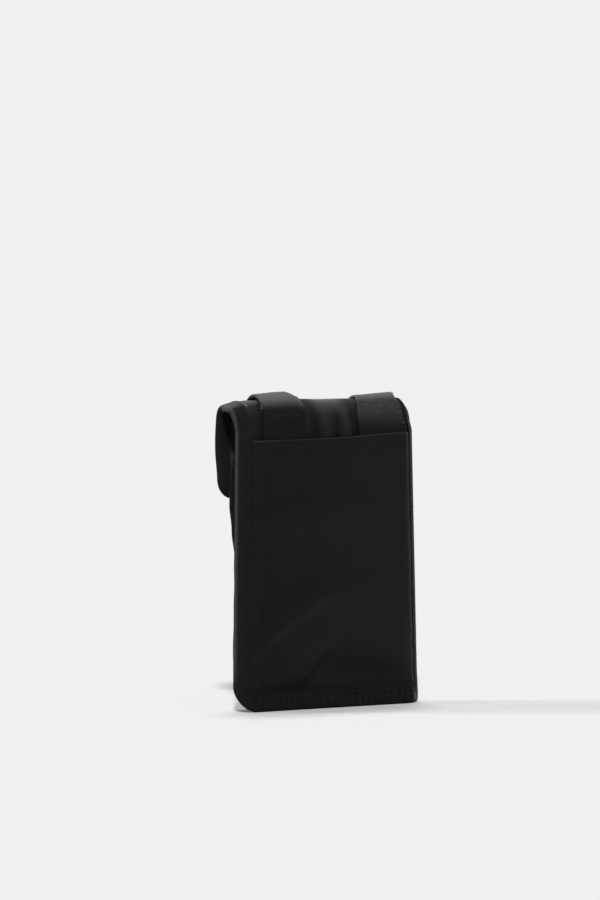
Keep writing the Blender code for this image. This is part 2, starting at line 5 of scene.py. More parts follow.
import bpy
import numpy as np
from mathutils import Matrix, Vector


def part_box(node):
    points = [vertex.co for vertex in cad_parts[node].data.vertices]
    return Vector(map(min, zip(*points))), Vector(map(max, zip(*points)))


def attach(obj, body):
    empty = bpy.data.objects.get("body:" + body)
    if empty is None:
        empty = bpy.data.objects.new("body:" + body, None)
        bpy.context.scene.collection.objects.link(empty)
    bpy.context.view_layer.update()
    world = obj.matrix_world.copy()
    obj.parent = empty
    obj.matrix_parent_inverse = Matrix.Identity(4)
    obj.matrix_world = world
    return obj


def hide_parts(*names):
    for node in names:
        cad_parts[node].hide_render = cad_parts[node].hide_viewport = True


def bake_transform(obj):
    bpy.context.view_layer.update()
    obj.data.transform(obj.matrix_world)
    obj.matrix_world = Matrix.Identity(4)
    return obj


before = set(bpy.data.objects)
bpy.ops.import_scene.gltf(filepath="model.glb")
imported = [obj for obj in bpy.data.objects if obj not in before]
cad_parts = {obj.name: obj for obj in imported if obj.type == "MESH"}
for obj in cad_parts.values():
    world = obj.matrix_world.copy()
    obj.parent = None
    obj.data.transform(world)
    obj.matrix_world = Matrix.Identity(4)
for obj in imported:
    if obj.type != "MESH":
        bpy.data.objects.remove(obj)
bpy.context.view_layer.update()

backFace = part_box("back_panel")[1].y  # outer face of the back, from which depths count
print("frame loaded, back face at", round(backFace, 5))


def millimetres(**sizes):
    return {name: size * 0.001 for name, size in sizes.items()}


# Thickness of each cloth, and the air between two that touch
layer = millimetres(nylon=0.6, lining=0.4, interlining=0.4, backFoam=2.0, frontFoam=1.5, air=0.3)
air = layer["air"]
body = millimetres(height=153, halfTop=59, halfBase=63, corner=13, standing=0.6, turnLength=6, taper=2.2)
flap = millimetres(
    halfWidth=59.5, corner=10, crownHeight=173.5, crownDepth=14.5, bellyDepth=28.6, bellyHeight=149,
    middleBellyHeight=155, middleInset=0.6, tipHeight=119, tipOutset=1.6, middleHalf=33,
)
front = millimetres(height=143, halfWidth=53.5, depth=19.5, swell=11)
tape = millimetres(width=8.5, thick=0.6, fold=0.9)  # binding folded over the edges
closure = millimetres(thick=1.0, height=12, halfWidth=30, margin=1)  # hook-and-loop tapes
bodyTurn, flapTurn, leftTurn, crownTurn = (math.radians(angle) for angle in (48, 16, 25, 46))
pocketTop = 0.151
# Depth of the front's bound edge up its height, as a share of the front's depth
frontEdge = (
    (0.0, 0.74), (0.25, 0.78), (0.42, 0.71), (0.58, 0.68), (0.70, 0.86), (0.80, 1.00), (0.90, 0.96), (1.0, 0.76),
)
backEdgeStack = layer["nylon"] + air + layer["lining"]
flapStack = backEdgeStack + air + layer["interlining"]
pocketStack = air + layer["nylon"]
tipDepth = front["depth"] + 3 * air + 2 * closure["thick"] + flapStack


# Sums on arrays
def smooth(share):
    share = np.clip(share, 0.0, 1.0)
    return share * share * (3 - 2 * share)


def mix(first, second, share):
    return first + (second - first) * share


def rise(value, start, end):
    return smooth((value - start) / (end - start))


def spread(first, last, step):
    return np.linspace(first, last, max(1, math.ceil(abs(last - first) / step)) + 1)


def fromShares(shares, share):
    places, values = (np.array(column) for column in zip(*shares))
    share = np.clip(share, places[0], places[-1])
    k = np.clip(np.searchsorted(places, share), 1, len(places) - 1)
    return mix(values[k - 1], values[k], smooth((share - places[k - 1]) / (places[k] - places[k - 1])))


def softNoise(u, v, seed):  # from -1 to 1, one lump to each unit
    grid = np.random.default_rng(seed).uniform(-1, 1, (64, 64))
    u, v = np.broadcast_arrays(np.asarray(u, float), np.asarray(v, float))
    iu, iv = np.floor(u).astype(int), np.floor(v).astype(int)
    fu, fv = smooth(u - iu), smooth(v - iv)

    def corner(i, j):
        return grid[(iu + i) % 64, (iv + j) % 64]

    return mix(mix(corner(0, 0), corner(1, 0), fu), mix(corner(0, 1), corner(1, 1), fu), fv)


def hump(value, middle, width):
    return np.exp(-(((value - middle) / width) ** 2))


def crossed(first, second):
    product = np.cross(first, second)
    return product / np.maximum(np.linalg.norm(product, axis=-1, keepdims=True), 1e-12)


# The side view's line that the outer cloth follows up the back, over the crown and down the flap
class Profile:
    steps = 160
    quarter, squarer = 0.5523, 0.68  # handles of a Bezier curve: the first draws a quarter of an ellipse

    def __init__(self, bellyDepth, bellyHeight, tipDepth, tipRun):
        shoulder, crown = (0.0, body["height"]), (-flap["crownDepth"], flap["crownHeight"])
        belly, landing = (-bellyDepth, bellyHeight), (-tipDepth, flap["tipHeight"] + tipRun)
        self.points = np.concatenate([
            [(0.0, body["standing"]), shoulder],
            self.curve(shoulder, (0, 1), crown, (-1, 0)),
            self.curve(crown, (-1, 0), belly, (0, -1), self.squarer),
            self.curve(belly, (0, -1), landing, (0, -1)),
            [(-tipDepth, flap["tipHeight"])],
        ])
        lengths = np.linalg.norm(np.diff(self.points, axis=0), axis=1)
        self.reach = np.concatenate([[0.0], np.cumsum(lengths)])
        self.shoulder, self.crown, self.belly = (self.reach[1 + k * self.steps] for k in range(3))
        self.length = self.reach[-1]

    def curve(self, start, leaving, end, arriving, share=quarter):
        start, end = np.array(start), np.array(end)
        handle = share * np.abs(end - start)
        p1, p2 = start + leaving * handle, end - arriving * handle
        t = np.linspace(0, 1, self.steps + 1)[1:, None]
        return (1 - t) ** 3 * start + 3 * t * (1 - t) ** 2 * p1 + 3 * t * t * (1 - t) * p2 + t**3 * end

    def at(self, along):
        k = np.clip(np.searchsorted(self.reach, along), 1, len(self.reach) - 1)
        share = (along - self.reach[k - 1]) / (self.reach[k] - self.reach[k - 1])
        return mix(self.points[k - 1], self.points[k], share[..., None])


edgeLine = Profile(flap["bellyDepth"], flap["bellyHeight"], tipDepth + flap["tipOutset"], closure["height"] / 4)
middleLine = Profile(
    flap["bellyDepth"] - flap["middleInset"], flap["middleBellyHeight"],
    tipDepth, tape["width"] + closure["height"] + air,
)
shellLength = edgeLine.length
crownAt = edgeLine.crown
foldBack, foldFront = mix(edgeLine.shoulder, crownAt, 0.5), mix(crownAt, edgeLine.belly, 0.5)


def lineAt(along, middleShare):
    leaving = rise(along, foldFront, edgeLine.belly)
    share = (along - crownAt) / (shellLength - crownAt)
    middle = middleLine.at(mix(middleLine.crown, middleLine.length, share))
    return mix(edgeLine.at(along), middle, (middleShare * leaving)[..., None])


def overCrown(along):
    return rise(along, pocketTop, crownAt)


def shellHalfWidth(along):
    width = mix(body["halfBase"], body["halfTop"], np.minimum(1.0, along / body["height"]))
    return mix(width, flap["halfWidth"], overCrown(along))


def edgeTurn(across, along):  # the side margins turn in, sharply on the body and gently on the flap
    left = mix(crownTurn, leftTurn, rise(along, crownAt, edgeLine.belly))
    angle = mix(bodyTurn, np.where(across > 0, flapTurn, left), overCrown(along))
    start = shellHalfWidth(along) - body["corner"]
    past = np.maximum(np.abs(across) - start, 0.0)
    radius = body["turnLength"] / angle
    turned = np.minimum(past, body["turnLength"]) / radius
    straight = np.maximum(past - body["turnLength"], 0.0)
    out = np.minimum(np.abs(across), start) + radius * np.sin(turned) + straight * np.cos(turned)
    return np.sign(across) * out, radius * (1 - np.cos(turned)) + straight * np.sin(turned)


# The body is drawn in at its lower right. Of its bottom corners the left one is pushed out squarer
# than a circle, whose exponent is 2, and the right one is a little flatter.
corners = dict(left=18.0, right=1.72, wider=0.0012, flare=0.0025, flareTop=0.020, flareSide=(0.030, 0.060))
# The flap's margins sink at the crown, and past it the right one swells
sag = dict(
    depth=0.0012,
    # from where to where across, and place and width along
    right=(0.046, 0.056), dip=(-0.002, 0.007), swell=(0.012, 0.006), left=(0.044, 0.054), leftDip=(-0.005, 0.010),
)


def basePlace(across, along):
    lean = body["taper"] * np.maximum(0, 1 - along / body["height"])
    out = np.maximum(np.abs(across) - (shellHalfWidth(body["corner"]) - body["corner"]), 0)
    down = np.maximum(body["corner"] - along, 0)
    reach = np.maximum(np.hypot(out, down), 1e-9)
    n = np.where(across < 0, corners["left"], corners["right"])
    grown = np.maximum((out / reach) ** n + (down / reach) ** n, 1e-9) ** (-1 / n) - 1
    grown = np.where((out > 0) & (down > 0), grown, 0)
    flared = corners["wider"] * (1 - overCrown(along)) + corners["flare"] * (1 - rise(along, 0.0, corners["flareTop"]))
    pulled = lean * rise(across, 0, body["halfTop"] - body["corner"]) + flared * rise(-across, *corners["flareSide"])
    return across + np.sign(across) * out * grown - pulled, along - down * grown


def shellMiddle(across, along, span=0.002):
    across, along = basePlace(across, along)
    middleShare = 1 - rise(np.abs(across), flap["middleHalf"], flap["halfWidth"])
    here = lineAt(along, middleShare)
    run = lineAt(along + span, middleShare) - lineAt(along - span, middleShare)
    run = run / np.linalg.norm(run, axis=-1, keepdims=True)
    x, drop = edgeTurn(across, along)
    off = along - crownAt
    right = rise(across, *sag["right"]) * (hump(off, *sag["dip"]) - hump(off, *sag["swell"]))
    drop = drop + sag["depth"] * (right - rise(-across, *sag["left"]) * hump(off, *sag["leftDip"]))
    return np.stack([x, backFace + here[..., 0] - run[..., 1] * drop, here[..., 1] + run[..., 0] * drop], -1)


def raised(middle, across, along, out, nudge=0.0004):  # off a surface, square to it
    across, along, out = np.broadcast_arrays(*(np.asarray(v, float) for v in (across, along, out)))
    over = middle(across + nudge, along) - middle(across - nudge, along)
    up = middle(across, along + nudge) - middle(across, along - nudge)
    return middle(across, along) + crossed(over, up) * out[..., None]


def shellPlace(across, along, out):
    return raised(shellMiddle, across, along, -np.asarray(out))


def flapPlace(across, fromTip, out):
    return shellPlace(across, shellLength - fromTip, out)


def flapHalfWidth(fromTip):
    return shellHalfWidth(shellLength - fromTip)


def frontHalfWidth(along):
    return front["halfWidth"] + 0 * along


def edgeInset(across, along, halfWidth):  # how far in from the edge, round the bottom corners too
    side, radius = halfWidth - np.abs(across), body["corner"]
    inCorner = (along < radius) & (side < radius)
    return np.where(inCorner, radius - np.hypot(radius - side, radius - along), np.minimum(side, along))


def shellInset(across, along):
    return edgeInset(across, along, shellHalfWidth(along))


def frontInset(across, along):
    return edgeInset(across, along, front["halfWidth"])


def frontMiddle(across, along):
    edge = front["depth"] * fromShares(frontEdge, along / front["height"])
    inward = rise(frontInset(across, along), body["corner"] - front["swell"], body["corner"])
    return np.stack([across, backFace - mix(edge, front["depth"], inward), along + body["standing"]], -1)


def frontPlace(across, along, out):
    return raised(frontMiddle, across, along, out)


# Rows of places over a panel. Where it has a radius, its first rows are led round two rounded corners.
def panelGrid(halfWidthAt, insets, middles, heights, radius=None):
    rows = []
    for bottom in insets if radius else ():
        ring = np.minimum(insets, bottom)
        arc = radius - ring
        share = np.abs(insets - bottom) / np.maximum(arc, 1e-9)
        angle = math.pi / 4 * np.where(insets > bottom, 1 + share, 1 - share)
        across = halfWidthAt(radius) - radius + arc * np.cos(angle)
        rows.append((across, radius - arc * np.sin(angle), bottom))
    rows += [(halfWidthAt(height) - insets, height + 0 * insets, height) for height in heights]
    grid = []
    for across, along, middle in rows:
        across = np.concatenate([across, middles, [0.0]])
        along = np.concatenate([along, middle + 0 * middles, [middle]])
        grid.append([[*-across[:-1], *across[::-1]], [*along[:-1], *along[::-1]]])
    return np.array(grid).transpose(1, 0, 2)


# Stations round a bound edge from top to top: places on the raw edge, the way in, and the run so far
def edgeStations(halfWidthAt, top, radius, step):
    down = np.arange(top, radius, -step)
    centre = halfWidthAt(radius) - radius
    turn = spread(0, math.pi / 2, step / radius)
    flat = spread(centre, -centre, step)[1:-1]
    side = np.stack([halfWidthAt(down), down, -np.ones(len(down)), np.zeros(len(down))], -1)
    corner = np.stack([centre + radius * np.cos(turn), radius - radius * np.sin(turn), -np.cos(turn), np.sin(turn)], -1)
    bottom = np.stack([flat, 0 * flat, 0 * flat, 1 + 0 * flat], -1)
    flip = np.array([-1, 1, -1, 1])
    stations = np.concatenate([side, corner, bottom, corner[::-1] * flip, side[::-1] * flip])
    steps = np.linalg.norm(np.diff(stations[:, :2], axis=0), axis=1)
    return stations, np.concatenate([[0.0], np.cumsum(steps)])


def linked(name, data):
    made = bpy.data.objects.new(name, data)
    bpy.context.scene.collection.objects.link(made)
    return made


# A closed sheet between two grids of points
def sheetMesh(name, outer, inner, uv, finish):
    rows, columns = outer.shape[:2]
    p = np.arange(rows * columns).reshape(rows, columns)
    u = p + rows * columns
    sides = (
        (p[:-1, :-1], p[:-1, 1:], p[1:, 1:], p[1:, :-1]), (u[:-1, :-1], u[1:, :-1], u[1:, 1:], u[:-1, 1:]),
        (p[0, 1:], p[0, :-1], u[0, :-1], u[0, 1:]), (p[-1, :-1], p[-1, 1:], u[-1, 1:], u[-1, :-1]),
        (p[:-1, 0], p[1:, 0], u[1:, 0], u[:-1, 0]), (p[1:, -1], p[:-1, -1], u[:-1, -1], u[1:, -1]),
    )
    faces = np.concatenate([np.stack(corners, -1).reshape(-1, 4) for corners in sides])
    points = np.concatenate([outer.reshape(-1, 3), inner.reshape(-1, 3)])
    a, b, c, d = (points[faces[:, k]] for k in range(4))
    if np.sum(a * (np.cross(b, c) + np.cross(c, d))) < 0:  # inside out
        faces = faces[:, ::-1]
    flat = np.stack(np.broadcast_arrays(*uv), -1).reshape(-1, 2)
    mesh = bpy.data.meshes.new(name)
    mesh.vertices.add(len(points))
    mesh.vertices.foreach_set("co", points.ravel())
    mesh.loops.add(faces.size)
    mesh.loops.foreach_set("vertex_index", faces.ravel())
    mesh.polygons.add(len(faces))
    mesh.polygons.foreach_set("loop_start", np.arange(0, faces.size, 4))
    mesh.update(calc_edges=True)
    mesh.uv_layers.new(name="cloth").data.foreach_set("uv", flat[faces.ravel() % len(flat)].ravel())
    mesh.validate()
    mesh.materials.append(finish)
    mesh.shade_smooth()
    mesh.set_sharp_from_angle(angle=math.radians(50))
    return mesh


# Fabric at the flap's folds, with the joint up to the crown on one side and the one past it on the other, and two
# points on each fold. Pieces given these are only baked in place here, not bent.
backFold = ("pouch_body", "flap_crown", (0, backFace, 0.1545), (0, backFace - 0.0060, 0.1665))
frontFold = ("flap_crown", "flap_front", (0, backFace - 0.0205, 0.1655), (0, backFace - 0.0270, 0.1515))


def joined(mesh, moves, nodes=()):
    piece = linked(mesh.name, mesh)
    if isinstance(moves, str):
        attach(piece, moves)
    else:
        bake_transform(piece)
    if nodes:
        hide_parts(*nodes)
    return piece


def flatArea(x, z):
    one = (x[1:, 1:] - x[:-1, :-1]) * (z[1:, :-1] - z[:-1, 1:])
    two = (z[1:, 1:] - z[:-1, :-1]) * (x[1:, :-1] - x[:-1, 1:])
    return abs(float((one - two).sum()) / 2)


# A cloth with its outer side at some height off a surface. More of it, as hem, is turned in or taken up.
def cutCloth(
    name, place, grid, outer, thick, finish, moves, nodes, hem=(0, 0), uv=None,
):
    outer = outer + 0 * grid[0]
    mesh = sheetMesh(name, place(*grid, outer), place(*grid, outer - thick), grid if uv is None else uv, finish)
    piece = joined(mesh, moves, nodes)
    size = tuple(float(np.ptp(places)) + more for places, more in zip(grid, hem))
    min(flatArea(*grid), size[0] * size[1])
    print(f"{name}: cut {size[0] * 1000:.1f} x {size[1] * 1000:.1f} mm, {len(piece.data.polygons)} faces")


# Node trees. A wire can be written in sums, and any other node comes from Tree.node
class Wire:
    def __init__(self, tree, socket):
        self.tree, self.socket = tree, socket

    def sum(self, operation, *others):
        return self.tree.node("ShaderNodeMath", {"operation": operation}, dict(enumerate((self, *others))))

    def __abs__(self):
        return self.sum("ABSOLUTE")

    def __add__(self, other):
        return self.sum("ADD", other)

    __radd__ = __add__

    def __sub__(self, other):
        return self.sum("SUBTRACT", other)

    def __rsub__(self, other):
        return self.tree.node("ShaderNodeMath", {"operation": "SUBTRACT"}, {0: other, 1: self})

    def __mul__(self, other):
        return self.sum("MULTIPLY", other)

    def __truediv__(self, other):
        return self.sum("DIVIDE", other)


class Tree:
    def __init__(self, tree):
        self.nodes, self.links = tree.nodes, tree.links
        self.nodes.clear()

    def node(self, kind, settings=None, values=None, out=0):
        made = self.nodes.new(kind)
        for key, value in (settings or {}).items():
            setattr(made, key, value)
        for key, value in (values or {}).items():
            if isinstance(value, Wire):
                self.links.new(value.socket, made.inputs[key])
            else:
                made.inputs[key].default_value = value
        return Wire(self, made.outputs[out])


def grey(level, blue=0.0):
    return (level, level, level + blue)


class Finish(Tree):
    def __init__(self, name, kind="materials"):
        self.owner = getattr(bpy.data, kind).new(name)
        self.owner.use_nodes = True
        super().__init__(self.owner.node_tree)

    def end(self, shader, kind="ShaderNodeOutputMaterial"):
        self.links.new(shader.socket, self.nodes.new(kind).inputs["Surface"])
        return self.owner

    def uv(self):
        flat = self.node("ShaderNodeUVMap", {"uv_map": "cloth"})
        return [self.node("ShaderNodeSeparateXYZ", None, {0: flat}, out) for out in (0, 1)]

    def noise(self, scale, detail=2.0, stretch=(1, 1, 1), rough=0.5):
        place = self.node("ShaderNodeTexCoord", out=3)
        place = self.node("ShaderNodeMapping", None, {"Vector": place, "Scale": stretch})
        values = {"Vector": place, "Scale": scale, "Detail": detail, "Roughness": rough}
        return self.node("ShaderNodeTexNoise", None, values)

    def wave(self, value, pitch):  # from 0 to 1, once in each pitch
        return (value * (2 * math.pi / pitch)).sum("SINE") * 0.5 + 0.5

    def colour(self, first, second, share):
        first, second = (end if isinstance(end, Wire) else (*end, 1) for end in (first, second))
        settings = {"data_type": "RGBA", "clamp_factor": True}
        return self.node("ShaderNodeMix", settings, {0: share, 6: first, 7: second}, 2)

    def ramp(self, value, start, end):  # from 0 to 1 between two values
        settings = {"interpolation_type": "SMOOTHSTEP"}
        return self.node("ShaderNodeMapRange", settings, {0: value, 1: start, 2: end, 3: 0.0, 4: 1.0})

    def seen(self):  # 1 for the camera's rays, also by way of a mirror or glass
        path = self.nodes.new("ShaderNodeLightPath")
        rays = ("Is Camera Ray", "Is Glossy Ray", "Is Transmission Ray")
        camera, glossy, glass = (Wire(self, path.outputs[ray]) for ray in rays)
        return camera.sum("MAXIMUM", glossy).sum("MAXIMUM", glass)

    def bump(self, height, distance, strength=1.0, under=None):
        values = {"Height": height, "Distance": distance, "Strength": strength}
        if under:
            values["Normal"] = under
        return self.node("ShaderNodeBump", None, values)

    def cloth(self, colour, roughness, normal, specular, sheen=0.0, sheenRoughness=0.25, constants=None):
        values = {
            "Base Color": colour, "Roughness": roughness, "Normal": normal, "Specular IOR Level": specular,
            "Sheen Weight": sheen, "Sheen Roughness": sheenRoughness, **(constants or {}),
        }
        return self.end(self.node("ShaderNodeBsdfPrincipled", None, values))


# Finishes. Patterns follow the flat cloth, in metres, so that weave and ribs bend with it
satin = dict(
    thread=0.00042, dark=(0.0080, 0.0081, 0.0082), light=(0.0215, 0.0216, 0.0221), lip=0.0009, paintedFoldPitch=0.01285,
)


def nylonFinish(name="black satin nylon", lip=False, crown=None, folds=False):
    made = Finish(name)
    across, along = made.uv()
    weave = made.wave(across, satin["thread"]) * made.wave(along, satin["thread"])
    cloud, slub, crush = made.noise(34, 3), made.noise(420, 2, (1, 1, 0.25)), made.noise(150, 4, rough=0.6)
    # painted light: the across term makes the cloth lighter towards its -X side
    share = weave * 0.35 + cloud * 0.35 + slub * 0.3 - across * 2.5
    if folds:  # painted fold shade: between the webbings, lighter and darker stripes are painted over the ridges and hollows of its folds
        there = made.ramp(abs(across + 0.0015), 0.0190, 0.0160) * made.ramp(crown - along, 0.0040, 0.0120)
        share = share + (made.wave(across + cloud * 0.0020 - 0.0010, satin["paintedFoldPitch"]) - 0.5) * there * 0.75
    colour = made.colour(satin["dark"], satin["light"], share)
    if lip:  # here along is counted down from the mouth, and a painted highlight lightens the folded lip
        edge = 1 - (along / satin["lip"]).sum("MINIMUM", 1.0)
        colour = made.colour(colour, grey(0.03, 0.001), edge * (0.5 + slub * 0.5))
    constants = {"Sheen Tint": (0.9, 0.93, 1.0, 1)}
    if crown:  # drawn tight and glossy where it is bent over the crown, with a painted highlight at one end of it
        middle, away = made.ramp(abs(across + 0.0025), 0.0140, 0.0045), abs(along - crown)
        coat = made.ramp(away, 0.0175, 0.0055) * (0.20 + middle * 0.62)
        paintedCrownHighlight = made.ramp(away, 0.0085, 0.0030) * made.ramp(across, 0.036, 0.044) * (0.4 + slub * 0.6)
        colour = made.colour(colour, grey(0.13, 0.001), paintedCrownHighlight)
        constants.update({"Coat Weight": coat, "Coat Roughness": 0.30, "Coat Tint": (0.95, 0.97, 1.0, 1)})
    normal = made.bump(weave, 0.00004, 0.7, made.bump(crush, 0.00045, 0.5))
    return made.cloth(colour, 0.54 + cloud * 0.10 + slub * 0.10, normal, 0.04, 0.06, constants=constants)


def liningFinish():
    made = Finish("plain woven lining")
    across, along = made.uv()
    weave = made.wave(across, 0.00036) * made.wave(along, 0.00036)
    cloud, mottle = made.noise(60, 3), made.noise(420, 3)
    colour = made.colour(grey(0.015, 0.0002), grey(0.090, 0.0005), weave * 0.2 + cloud * 0.2 + mottle * 0.6)
    normal = made.bump(weave, 0.00003, 0.6, made.bump(mottle, 0.0005, 0.5))
    return made.cloth(colour, 0.58 + cloud * 0.12, normal, 0.05)


# Here across runs over the folded tape from one leaf to the other, and along is counted from the nearer end.
# Its colour has a painted highlight on its side folds, painted shade and highlight in stripes along its bottom, a
# painted highlight over the crown and painted light on the flap's inner leaf.
def bindingFinish(name="ribbed binding tape", crown=0.0, inner=0.0):
    made = Finish(name)
    across, along = made.uv()
    height = made.node("ShaderNodeSeparateXYZ", None, {0: made.node("ShaderNodeTexCoord", out=3)}, 2)
    rib, grain, cloud = made.wave(along, 0.00075), made.noise(900, 2), made.noise(70, 3)
    patchy = 0.5 + grain * 0.5
    # painted shade and highlight: stripes along the bottom where the tape is wrinkled
    paintedPuckerArea = made.ramp(height, 0.016, 0.008) * made.ramp(made.noise(38, 2), 0.40, 0.60)
    paintedPuckerShade = (made.wave(along + cloud * 0.0080, 0.0037) - 0.5) * paintedPuckerArea * 0.42
    share = rib * 0.25 + grain * 0.4 + cloud * 0.25 + paintedPuckerShade
    colour = made.colour(grey(0.0055, 0.0001), grey(0.0185, 0.0003), share)
    # painted highlight: the tape's side fold is lightened from 10 mm up
    fold = 1 - (abs(across - 0.0080) / 0.0019).sum("MINIMUM", 1.0)
    colour = made.colour(colour, grey(0.078, 0.001), fold * made.ramp(height, 0.010, 0.030) * patchy)
    # painted highlight: lighter over the crown, near the tape's ends
    colour = made.colour(colour, grey(0.13, 0.001), made.ramp(along, 0.0085, 0.0030) * crown * patchy)
    # painted light: the flap's inner leaf is lightened in blotches, inside the flap where it lies in shade
    paintedInnerLight = made.ramp(across, 0.0108, 0.0140) * made.ramp(made.noise(1700, 2), 0.25, 0.75) * inner
    colour = made.colour(colour, grey(0.036, 0.0003), paintedInnerLight)
    normal = made.bump(rib * 0.7 + grain * 0.6, 0.00011, 0.8)
    return made.cloth(colour, 0.60 + grain * 0.16, normal, 0.04, 0.12)


# Webbing loops: heavy twill bands from inside the slip pocket over the crown and down the flap
strap = dict(
    width=0.030, thick=0.0015, inner=0.015, tail=0.022, endInset=0.012, rib=0.0021, chevron=0.0075, relief=0.00004,
    # height off the cloth over the crown, and how it is spread from the inner edge to the outer one
    lift=dict(right=0.0026, left=0.0012), shift=0.0020, slant=0.50, pinch=dict(left=0.185, right=0.11),
    bow=dict(
        right=((0, 0), (0.26, 1), (0.50, 0.93), (0.70, 0.75), (0.92, 0.6), (1, 0.5)),
        left=((0, 0), (0.9, 1), (1, 0.95)),
    ),
)


# Fuzzy where it is bent over the crown, and lighter there with a painted sheen. Near and far give where the fuzz and
# its painted sheen end, where they are full and how much they are.
def webbingFinish(name, near, far=None):
    made = Finish(name)
    across, along = made.uv()
    chevron = (across / strap["chevron"]).sum("PINGPONG", 1.0) * strap["chevron"]
    yarn, warp = made.wave(along + chevron, strap["rib"]), made.wave(across, 0.00125)
    fibre, tuft, cloud = made.noise(1500, 2, (1, 1, 0.4)), made.noise(620, 2), made.noise(110, 3)
    colour = made.colour(grey(0.0055), grey(0.0245, 0.0003), yarn * 0.18 + fibre * 0.4 + cloud * 0.35)
    half = strap["width"] / 2
    # painted shade: the band's edges are darkened to near black
    colour = made.colour(grey(0.002), colour, made.ramp(abs(across - half), half, half - 0.0010))
    away = abs(along - crownAt)
    # fuzz and painted sheen: the colour is lightened towards grey near the crown
    fuzz = made.ramp(away, *near[:2]) * near[2] * (warp * 1.3 + fibre * 0.2)
    if far:
        fuzz = fuzz + made.ramp(away, *far[:2]) * far[2] * (tuft * 1.7 + yarn * 0.2)
    colour = made.colour(colour, grey(0.20), fuzz)
    normal = made.bump(fibre * 0.6 + yarn * 0.1 + warp * 0.7 + tuft * 0.5, 0.00024, 0.9)
    return made.cloth(colour, 0.75 + fibre * 0.2, normal, 0.02, 0.17)


def grainFinish(name, dark, light, size, roughness, relief, specular):
    made = Finish(name)
    grain = made.noise(*size)
    colour = made.colour(grey(dark), grey(light), grain)
    return made.cloth(colour, roughness[0] + grain * roughness[1], made.bump(grain, *relief), specular)


def closureFinish():
    made = Finish("hook and loop tape")
    pile, tuft = made.noise(2200, 3), made.noise(700, 2)
    colour = made.colour(grey(0.004), grey(0.015), pile * 0.6 + tuft * 0.3)
    return made.cloth(colour, 0.8 + pile * 0.15, made.bump(pile + tuft, 0.0003, 0.9), 0.2, 0.1, 0.5)


nylon, lining, binding = nylonFinish(), liningFinish(), bindingFinish()
crownBinding = bindingFinish("ribbed binding tape over the crown", 0.9)
flapBinding = bindingFinish("ribbed binding tape of the flap", 0.9, 0.7)
webbing = dict(
    right=webbingFinish("twill webbing", (0.0140, 0.0028, 1.25)),
    left=webbingFinish("fuzzy twill webbing with painted sheen", (0.0095, 0.0015, 0.90), (0.0255, 0.0110, 0.185)),
)
pocketNylon = nylonFinish("satin nylon with a folded lip", lip=True)
backNylon = nylonFinish("satin nylon of the back", crown=crownAt, folds=True)
flapNylon = nylonFinish("satin nylon of the flap", crown=shellLength - crownAt)
thread = grainFinish("polyester thread", 0.004, 0.013, (2600, 1), (0.55, 0.15), (0.00008, 0.5), 0.05)
looseFibre = grainFinish("loose fibre", 0.05, 0.26, (2600, 1), (0.55, 0.15), (0.00008, 0.5), 0.05)
foam = grainFinish("grey foam", 0.06, 0.14, (1400, 3), (0.9, 0.08), (0.0002, 0.7), 0.2)
hookLoop = closureFinish()
print("finishes made")

# Places in from a bound edge at which the cloths have columns, places across the middle, and rows
bodyInsets = spread(air, body["corner"], 0.0007)
flapInsets = spread(air, flap["corner"], 0.0008)
middles, frontMiddles = np.arange(0.0452, 0.0004, -0.0009), np.arange(0.0396, 0.0004, -0.0009)
crownRows = spread(pocketTop, crownAt, 0.0009)
bodyRows = np.concatenate([spread(body["corner"], pocketTop, 0.0012)[1:-1], crownRows])
flapRows = spread(flap["corner"], shellLength - crownAt, 0.0011)[1:]
frontRows = spread(body["corner"], front["height"], 0.0011)[1:]
backGrid = panelGrid(shellHalfWidth, bodyInsets, middles, bodyRows, body["corner"])
flapGrid = panelGrid(flapHalfWidth, flapInsets, middles, flapRows, flap["corner"])
frontGrid = panelGrid(frontHalfWidth, bodyInsets, frontMiddles, frontRows, body["corner"])


# Relief of the cloths, as height off their smooth shapes
def crease(across, along, start, end, height, upper, lower):
    run = np.array(end) - start
    length = np.hypot(*run)
    t = ((across - start[0]) * run[0] + (along - start[1]) * run[1]) / length**2
    off = ((along - start[1]) * run[0] - (across - start[0]) * run[1]) / length * np.sign(run[0])
    fade = smooth(1.6 - np.abs(2 * t - 1) * 1.6)
    return height * fade * np.exp(-((off / np.where(off > 0, upper, lower)) ** 2))


def lumps(across, along, height, wide, long, seed, shift=0):
    return height * softNoise(across / wide + shift, along / long, seed)


# Cloth is held flat by the binding, and free where it is as far in from its edge as free says
shellWaves = dict(
    # place across and height of the ripples between the webbings, in millimetres
    ripples=(
        (-14.5, 0), (-11.5, 0.85), (-7.5, 0.35), (-4, 0.3), (-0.5, 1), (8.5, 0.1), (12.5, 0), (15, 0.2), (17, 0),
    ),
    depth=0.0030, foot=(-0.006, 0.004), head=(-0.022, -0.009), crush=(0.00026, 0.009, 0.014, 11), free=0.016,
)


def shellRelief(across, along):
    ripple = fromShares(shellWaves["ripples"], across * 1000) * shellWaves["depth"]
    fade = rise(along - pocketTop, *shellWaves["foot"]) * (1 - rise(along - crownAt, *shellWaves["head"]))
    margin = rise(shellHalfWidth(along) - np.abs(across), tape["width"], shellWaves["free"])
    return (ripple * fade + lumps(across, along, *shellWaves["crush"])) * margin


